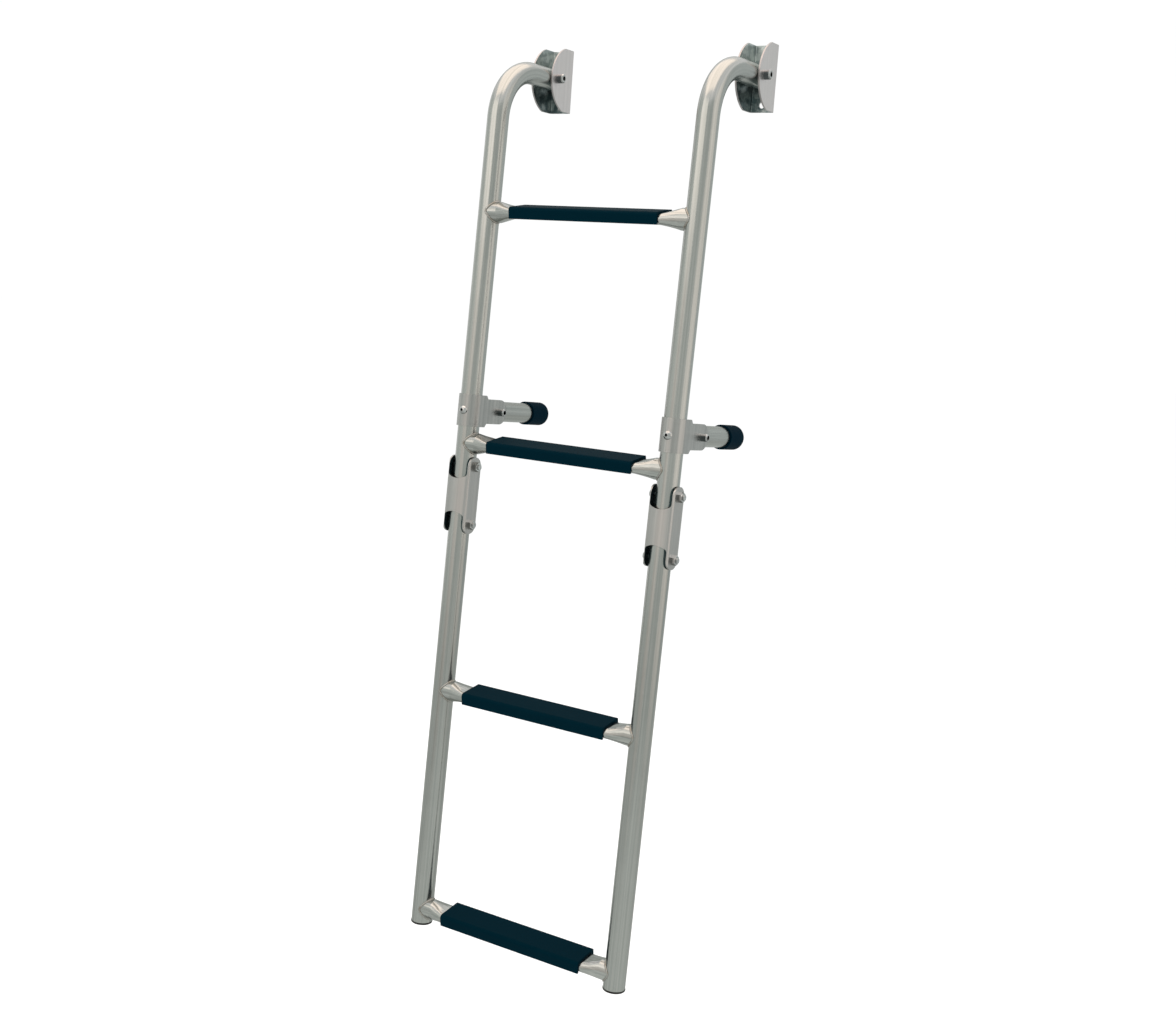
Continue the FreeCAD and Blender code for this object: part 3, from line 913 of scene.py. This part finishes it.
def add_object(name: str, data: bpy.types.ID) -> bpy.types.Object:
    """Add an object to the scene.

    Args:
        name: The object's name.
        data: Its mesh, lamp or camera.

    Returns:
        The new object.
    """
    thing = bpy.data.objects.new(name, data)
    bpy.context.scene.collection.objects.link(thing)
    return thing


def new_piece(name: str, mesh: bpy.types.Mesh, material: bpy.types.Material, body: str) -> None:
    """Add a piece that rides on a body.

    Args:
        name: The piece's name.
        mesh: Its mesh, in the part's frame.
        material: Its finish.
        body: The body that carries it.
    """
    mesh.materials.append(material)
    piece = add_object(name, mesh)
    for polygon in mesh.polygons:
        polygon.use_smooth = True
    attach(piece, body)
    LOG.info("%s: %d faces on %s", name, len(mesh.polygons), body)


def grid_mesh(name: str, rows: int, columns: int, at: GridPoint, closed: bool) -> bpy.types.Mesh:
    """Make a mesh of rows and columns whose columns close into rings.

    Args:
        name: The mesh's name.
        rows: How many rings there are.
        columns: How many points each ring has.
        at: Gives the point at a row and a column.
        closed: Whether the last ring joins the first. If it doesn't, both ends are capped.

    Returns:
        The mesh.
    """
    points = [at(row, column) for row in range(rows) for column in range(columns)]
    faces = []
    for row in range(rows if closed else rows - 1):
        start = row * columns
        after = (row + 1) % rows * columns
        for column in range(columns):
            beside = (column + 1) % columns
            faces.append((start + column, after + column, after + beside, start + beside))
    if not closed:
        faces.append(tuple(range(columns)))
        faces.append(tuple(reversed([(rows - 1) * columns + column for column in range(columns)])))
    mesh = bpy.data.meshes.new(name)
    mesh.from_pydata(points, [], faces)
    sides = bmesh.new()
    sides.from_mesh(mesh)
    bmesh.ops.recalc_face_normals(sides, faces=sides.faces)
    sides.to_mesh(mesh)
    sides.free()
    return mesh


def panel_mesh(name: str, centre: Vector, side: Vector, rise: Vector) -> bpy.types.Mesh:
    """Make a flat panel.

    Args:
        name: The mesh's name.
        centre: Its middle.
        side: From the middle to the middle of its right edge.
        rise: From the middle to the middle of its upper edge.

    Returns:
        The mesh.
    """
    corners = [centre - side - rise, centre + side - rise, centre + side + rise, centre - side + rise]
    mesh = bpy.data.meshes.new(name)
    mesh.from_pydata(corners, [], [(0, 1, 2, 3)])
    return mesh


def paint(nodes: Sequence[str], material: bpy.types.Material) -> None:
    """Give CAD nodes a finish.

    Args:
        nodes: The nodes' names.
        material: The finish.
    """
    for name in nodes:
        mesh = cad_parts[name].data
        mesh.materials.clear()
        mesh.materials.append(material)
        LOG.info("%s: %s", name, material.name)


@dataclass
class TubeFrame:
    """A frame of two rails and two rungs, with its treads and welds."""

    level: str
    rungs: tuple[int, ...]
    rung_material: bpy.types.Material
    tread_material: bpy.types.Material
    weld_material: bpy.types.Material
    bead_radius: float = 0.00115
    bead_ripples: int = 44
    ripple_depth: float = 0.16
    bead_steps: int = 264
    bead_sides: int = 10
    slope_angle: float = 0.01

    def weld_mesh(self, name: str, rung: int, side: str) -> bpy.types.Mesh:
        """Make the rippled bead that runs round a rung where it meets a rail.

        Args:
            name: The mesh's name.
            rung: The rung's number.
            side: The rail's side.

        Returns:
            The bead's mesh.
        """
        middle = node_centre("rung_%d" % rung)
        rail = node_centre("%s_%s_rail" % (side, self.level))
        about = Vector((rail.x, middle.y, middle.z))
        inward = 1.0 if side == "left" else -1.0

        def saddle(angle: float) -> Vector:
            """Find where the rung runs into the rail.

            Args:
                angle: The angle round the rung.

            Returns:
                The point, in the upright ladder's directions.
            """
            across = RUNG_RADIUS * math.cos(angle)
            out = math.sqrt(RAIL_RADIUS ** 2 - across ** 2)
            return Vector((inward * out, across, RUNG_RADIUS * math.sin(angle)))

        def at(row: int, column: int) -> Vector:
            """Find a point of the bead.

            Args:
                row: The step round the rung.
                column: The step round the bead itself.

            Returns:
                The point, in the part's frame.
            """
            angle = 2 * math.pi * row / self.bead_steps
            ahead = (saddle(angle + self.slope_angle) - saddle(angle - self.slope_angle)).normalized()
            outward = Vector((inward, math.cos(angle), math.sin(angle)))
            outward = (outward - ahead * outward.dot(ahead)).normalized()
            beside = ahead.cross(outward)
            turn = 2 * math.pi * column / self.bead_sides
            wave = 1.0 + self.ripple_depth * abs(math.sin(self.bead_ripples * angle / 2))
            offset = (outward * math.cos(turn) + beside * math.sin(turn)) * (self.bead_radius * wave)
            return upright_to_frame(saddle(angle) + offset, about)

        return grid_mesh(name, self.bead_steps, self.bead_sides, at, True)

    def build(self) -> None:
        """Make the weld beads."""
        for rung in self.rungs:
            for side in SIDES:
                name = "%s_weld_%d" % (side, rung)
                mesh = self.weld_mesh(name, rung, side)
                new_piece(name, mesh, self.weld_material, self.level + "_frame")

    def dress(self) -> None:
        """Give rails, rungs and treads their finishes."""
        rail_steel = replace(TUBE_STEEL, name=self.level + "_rail_steel", look=WeldHeat(self.rungs))
        paint(["%s_%s_rail" % (side, self.level) for side in SIDES], rail_steel.material())
        paint(["rung_%d" % rung for rung in self.rungs], self.rung_material)
        paint(["tread_%d" % rung for rung in self.rungs], self.tread_material)


@dataclass
class FoldLinks:
    """The two sheet links and the threads that stand out of their nuts."""

    sheet_material: bpy.types.Material
    bolt_material: bpy.types.Material
    tip_length: float = 0.0015
    end_gap: float = 0.00005
    thread_root: float = 0.0029
    thread_depth: float = 0.00030
    thread_pitch: float = 0.0010
    fade_rate: float = 3.0
    thread_rows: int = 26
    thread_columns: int = 60

    def bolts(self) -> list[tuple[str, str]]:
        """Return each bolt's side and node."""
        return [(side, "%s_%s_link_bolt" % (side, end)) for side in SIDES for end in ("upper", "lower")]

    def thread_mesh(self, name: str, node: str) -> bpy.types.Mesh:
        """Make the screw thread on a bolt's tip.

        Args:
            name: The mesh's name.
            node: The bolt's node.

        Returns:
            The thread's mesh.
        """
        _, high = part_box(node)
        axis = node_centre(node)
        start = high.x - self.tip_length
        length = self.tip_length - self.end_gap

        def at(row: int, column: int) -> Vector:
            """Find a point of the thread.

            Args:
                row: The step along the bolt.
                column: The step round it.

            Returns:
                The point, in the part's frame.
            """
            share = row / (self.thread_rows - 1)
            turn = column / self.thread_columns
            phase = (share * length / self.thread_pitch - turn) % 1.0
            ridge = 1.0 - abs(2.0 * phase - 1.0)
            taper = min(1.0, (1.0 - share) * self.fade_rate)
            radius = self.thread_root + self.thread_depth * ridge * taper
            angle = 2 * math.pi * turn
            y = axis.y + radius * math.cos(angle)
            z = axis.z + radius * math.sin(angle)
            return Vector((start + share * length, y, z))

        return grid_mesh(name, self.thread_rows, self.thread_columns, at, False)

    def build(self) -> None:
        """Make the threads."""
        for side, node in self.bolts():
            name = node + "_thread"
            mesh = self.thread_mesh(name, node)
            new_piece(name, mesh, self.bolt_material, side + "_fold_link")

    def dress(self) -> None:
        """Give links and bolts their finishes."""
        paint([side + "_link" for side in SIDES], self.sheet_material)
        paint([node for _, node in self.bolts()], self.bolt_material)


@dataclass
class Standoffs:
    """The clamps, rivets, legs and rubber tips that keep the ladder off the wall."""

    sheet_material: bpy.types.Material
    leg_material: bpy.types.Material
    bolt_material: bpy.types.Material
    rubber_material: bpy.types.Material
    stem_radius: float = 0.00105
    stem_tip_radius: float = 0.000735
    stem_shoulder: float = 0.85
    stem_depth: float = 0.0013
    stem_length: float = 0.0010
    stem_sides: int = 24

    def stem_mesh(self, name: str, node: str) -> bpy.types.Mesh:
        """Make the broken stem inside a hollow rivet.

        Args:
            name: The mesh's name.
            node: The rivet's node.

        Returns:
            The stem's mesh.
        """
        low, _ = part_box(node)
        middle = node_centre(node)
        front = Vector((middle.x, low.y, middle.z))
        rings = ((0.0, self.stem_radius), (self.stem_shoulder, self.stem_radius), (1.0, self.stem_tip_radius))

        def at(row: int, column: int) -> Vector:
            """Find a point of the stem.

            Args:
                row: The ring, from the stem's root to its tip.
                column: The step round the stem.

            Returns:
                The point, in the part's frame.
            """
            share, radius = rings[row]
            angle = 2 * math.pi * column / self.stem_sides
            depth = self.stem_depth + self.stem_length * (1.0 - share)
            point = Vector((radius * math.cos(angle), depth, radius * math.sin(angle)))
            return upright_to_frame(point, front)

        return grid_mesh(name, len(rings), self.stem_sides, at, False)

    def build(self) -> None:
        """Make the rivets' stems."""
        for side in SIDES:
            name = side + "_rivet_stem"
            mesh = self.stem_mesh(name, side + "_clamp_rivet")
            new_piece(name, mesh, self.bolt_material, "upper_frame")

    def dress(self) -> None:
        """Give clamps, legs, bolts, rivets and tips their finishes."""
        for side in SIDES:
            paint([side + "_standoff_clamp"], self.sheet_material)
            paint([side + "_standoff_leg"], self.leg_material)
            paint([side + "_standoff_bolt", side + "_clamp_rivet"], self.bolt_material)
            paint([side + "_rubber_tip"], self.rubber_material)


@dataclass
class WallBrackets:
    """The two folded brackets and their pivot bolts."""

    sheet_material: bpy.types.Material
    bolt_material: bpy.types.Material

    def dress(self) -> None:
        """Give brackets and bolts their finishes."""
        paint([side + "_bracket" for side in SIDES], self.sheet_material)
        paint([side + "_bracket_bolt" for side in SIDES], self.bolt_material)


@dataclass(frozen=True)
class Card:
    """A self-lit panel that only polished surfaces see, as a studio's reflector does."""

    name: str
    bearing_deg: float
    width: float
    height: float
    colour: Colour
    strength: float
    middle_z: float
    distance: float = 2.6
    flat: bool = False

    def build(self, target: Vector) -> None:
        """Stand the card round the ladder, or lay it down.

        Args:
            target: The point that the card's bearing is taken from.
        """
        bearing = math.radians(self.bearing_deg)
        away = Vector((math.cos(bearing), math.sin(bearing), 0.0))
        centre = Vector((target.x, target.y, self.middle_z)) + away * self.distance
        side = Vector((-away.y, away.x, 0.0)) * (self.width / 2)
        rise = (away if self.flat else Vector((0.0, 0.0, 1.0))) * (self.height / 2)
        mesh = panel_mesh(self.name, centre, side, rise)
        tree = ShaderTree(self.name)
        inputs = {"Color": (*self.colour, 1.0), "Strength": self.strength}
        mesh.materials.append(tree.finish(tree.node("ShaderNodeEmission", {}, inputs)))
        card = add_object(self.name, mesh)
        for ray in ("camera", "diffuse", "transmission", "volume_scatter", "shadow"):
            setattr(card, "visible_" + ray, False)
        card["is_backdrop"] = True


@dataclass(frozen=True)
class WallPair:
    """Two cards on one bearing: a tall bright one and a shorter, dimmer one below it."""

    name: str
    bearing_deg: float
    width: float
    colour: Colour
    upper_strength: float
    lower_strength: float
    upper_height: float = 2.45
    upper_z: float = 0.375
    lower_height: float = 1.55
    lower_z: float = -1.625

    def cards(self) -> list[Card]:
        """Return the upper and the lower card."""
        halves = (
            ("_upper_card", self.upper_height, self.upper_strength, self.upper_z),
            ("_lower_card", self.lower_height, self.lower_strength, self.lower_z),
        )
        return [
            Card(self.name + ending, self.bearing_deg, self.width, height, self.colour, strength, middle_z)
            for ending, height, strength, middle_z in halves
        ]


@dataclass(frozen=True)
class Softbox:
    """A rectangular lamp that faces the ladder."""

    name: str
    place: Vector
    width: float
    height: float
    power: float
    colour: Colour

    def build(self, target: Vector) -> None:
        """Hang the lamp and turn it to the target.

        Args:
            target: The point that the lamp faces.
        """
        data = bpy.data.lights.new(self.name, "AREA")
        data.shape = "RECTANGLE"
        data.size = self.width
        data.size_y = self.height
        data.energy = self.power
        data.color = self.colour
        lamp = add_object(self.name, data)
        lamp.location = self.place
        lamp.rotation_euler = (target - self.place).to_track_quat("-Z", "Y").to_euler()
        lamp.visible_camera = False
        lamp.visible_glossy = False


# The tints of the studio's lamps and cards
LAMP_WARM = (1.0, 0.955, 0.91)
CARD_WARM = (1.0, 0.955, 0.90)
CARD_GREY = (0.95, 1.0, 0.965)
CARD_COOL = (0.93, 1.0, 0.99)
CARD_PEACH = (1.0, 0.885, 0.80)


@dataclass
class Studio:
    """Floor, light and camera."""

    floor_drop: float = 0.30
    floor_half: float = 30.0
    floor_colour: Colour = (1.0, 1.0, 1.0)
    floor_roughness: float = 0.9
    world_colour: Colour = (1.0, 1.0, 1.0)
    world_strength: float = 1.02
    camera_place: Vector = field(default_factory=lambda: Vector((0.99787, -1.5205, -0.25458)))
    camera_aim: Vector = field(default_factory=lambda: Vector((0.17862, -0.16515, -0.48224)))
    camera_roll_deg: float = 4.075
    lens_mm: float = 44.388
    sensor_mm: float = 36.0

    def softboxes(self) -> list[Softbox]:
        """Return the lamps."""
        over = Vector((-1.0, -0.55, 1.7))
        right = Vector((2.45, 0.33, -0.35))
        return [
            Softbox("overhead_softbox", over, width=2.0, height=2.0, power=22.0, colour=LAMP_WARM),
            Softbox("right_softbox", right, width=1.7, height=2.6, power=17.5, colour=LAMP_WARM),
        ]

    def wall_cards(self) -> list[Card]:
        """Return the upright panels all round, which give the polished tubes their bands."""
        pairs = (
            WallPair("camera_side", -49.0, 3.20, CARD_GREY, upper_strength=0.66, lower_strength=0.60),
            WallPair("front", -100.0, 1.76, CARD_WARM, upper_strength=0.90, lower_strength=0.66),
            WallPair("left", -154.0, 3.60, CARD_GREY, upper_strength=0.78, lower_strength=0.60),
            WallPair("right", 9.3, 2.60, CARD_WARM, upper_strength=1.16, lower_strength=0.82),
            WallPair("right_rear", 63.0, 2.65, CARD_COOL, upper_strength=0.67, lower_strength=0.57),
            WallPair("rear", 122.0, 3.40, CARD_GREY, upper_strength=0.55, lower_strength=0.50),
        )
        return [card for pair in pairs for card in pair.cards()]

    def other_cards(self) -> list[Card]:
        """Return the high front panel and those that lie over and under the ladder."""
        high = {"middle_z": 0.95, "distance": 2.3}
        over = {"middle_z": 1.45, "distance": 0.35, "flat": True}
        under = {"middle_z": -1.29, "distance": 0.0, "flat": True}
        under_front = {"middle_z": -1.28, "distance": 1.2, "flat": True}
        return [
            Card("front_high_card", -105.0, 2.6, 1.6, CARD_WARM, strength=1.60, **high),
            Card("overhead_card", -165.0, 2.4, 2.3, CARD_PEACH, strength=2.05, **over),
            Card("wide_floor_card", -75.0, 6.0, 6.0, CARD_GREY, strength=0.58, **under),
            Card("front_floor_card", -58.0, 2.6, 2.4, CARD_GREY, strength=0.74, **under_front),
        ]

    def build_floor(self, lowest: float) -> None:
        """Lay a wide pale floor under the ladder.

        Args:
            lowest: The ladder's lowest point.
        """
        centre = Vector((0.0, 0.0, lowest - self.floor_drop))
        side = Vector((self.floor_half, 0.0, 0.0))
        rise = Vector((0.0, self.floor_half, 0.0))
        mesh = panel_mesh("floor", centre, side, rise)
        colour = (*self.floor_colour, 1.0)
        inputs = {"Base Color": colour, "Roughness": self.floor_roughness, "Specular IOR Level": 0.0}
        mesh.materials.append(ShaderTree("pale_floor").principled(inputs))
        floor = add_object("floor", mesh)
        floor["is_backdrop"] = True

    def build_world(self) -> None:
        """Make the white surroundings."""
        world = bpy.data.worlds.new("white_room")
        world.use_nodes = True
        background = world.node_tree.nodes["Background"]
        background.inputs["Color"].default_value = (*self.world_colour, 1.0)
        background.inputs["Strength"].default_value = self.world_strength
        bpy.context.scene.world = world

    def build_camera(self) -> None:
        """Stand the camera where the ladder was seen from."""
        data = bpy.data.cameras.new("camera")
        data.lens = self.lens_mm
        data.sensor_width = self.sensor_mm
        camera = add_object("camera", data)
        level = (self.camera_aim - self.camera_place).to_track_quat("-Z", "Y").to_matrix().to_4x4()
        roll = Matrix.Rotation(math.radians(self.camera_roll_deg), 4, "Z")
        camera.matrix_world = Matrix.Translation(self.camera_place) @ level @ roll
        bpy.context.scene.camera = camera

    def build(self, low: Vector, high: Vector) -> None:
        """Build everything round the ladder.

        Args:
            low: The ladder's lowest corner.
            high: Its highest corner.
        """
        middle = (low + high) / 2
        bpy.context.scene.view_settings.view_transform = "Standard"
        self.build_world()
        self.build_floor(low.z)
        self.build_camera()
        for light in (*self.softboxes(), *self.wall_cards(), *self.other_cards()):
            light.build(middle)
        LOG.info("studio: floor at %.3f m", low.z - self.floor_drop)


def main() -> None:
    """Finish each sub-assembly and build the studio."""
    logging.basicConfig(level=logging.INFO, format="%(name)s %(message)s")
    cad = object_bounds()
    rung_steel = RUNG_STEEL.material()
    bright_steel = BRIGHT_STEEL.material()
    tread_plastic = TREAD_PLASTIC.material()
    weld = WeldFinish().material()
    for level, rungs in (("upper", (1, 2)), ("lower", (3, 4))):
        tubes = TubeFrame(level, rungs, rung_steel, tread_plastic, weld)
        tubes.build()
        tubes.dress()
    paint([side + "_foot_plug" for side in SIDES], PLUG_PLASTIC.material())
    links = FoldLinks(LINK_STEEL.material(), bright_steel)
    links.build()
    links.dress()
    standoffs = Standoffs(SHADED_CLAMP_STEEL.material(), LEG_STEEL.material(), bright_steel, TIP_RUBBER.material())
    standoffs.build()
    standoffs.dress()
    WallBrackets(LIT_BRACKET_STEEL.material(), bright_steel).dress()
    Studio().build(*cad)


if __name__ == "__main__":
    main()
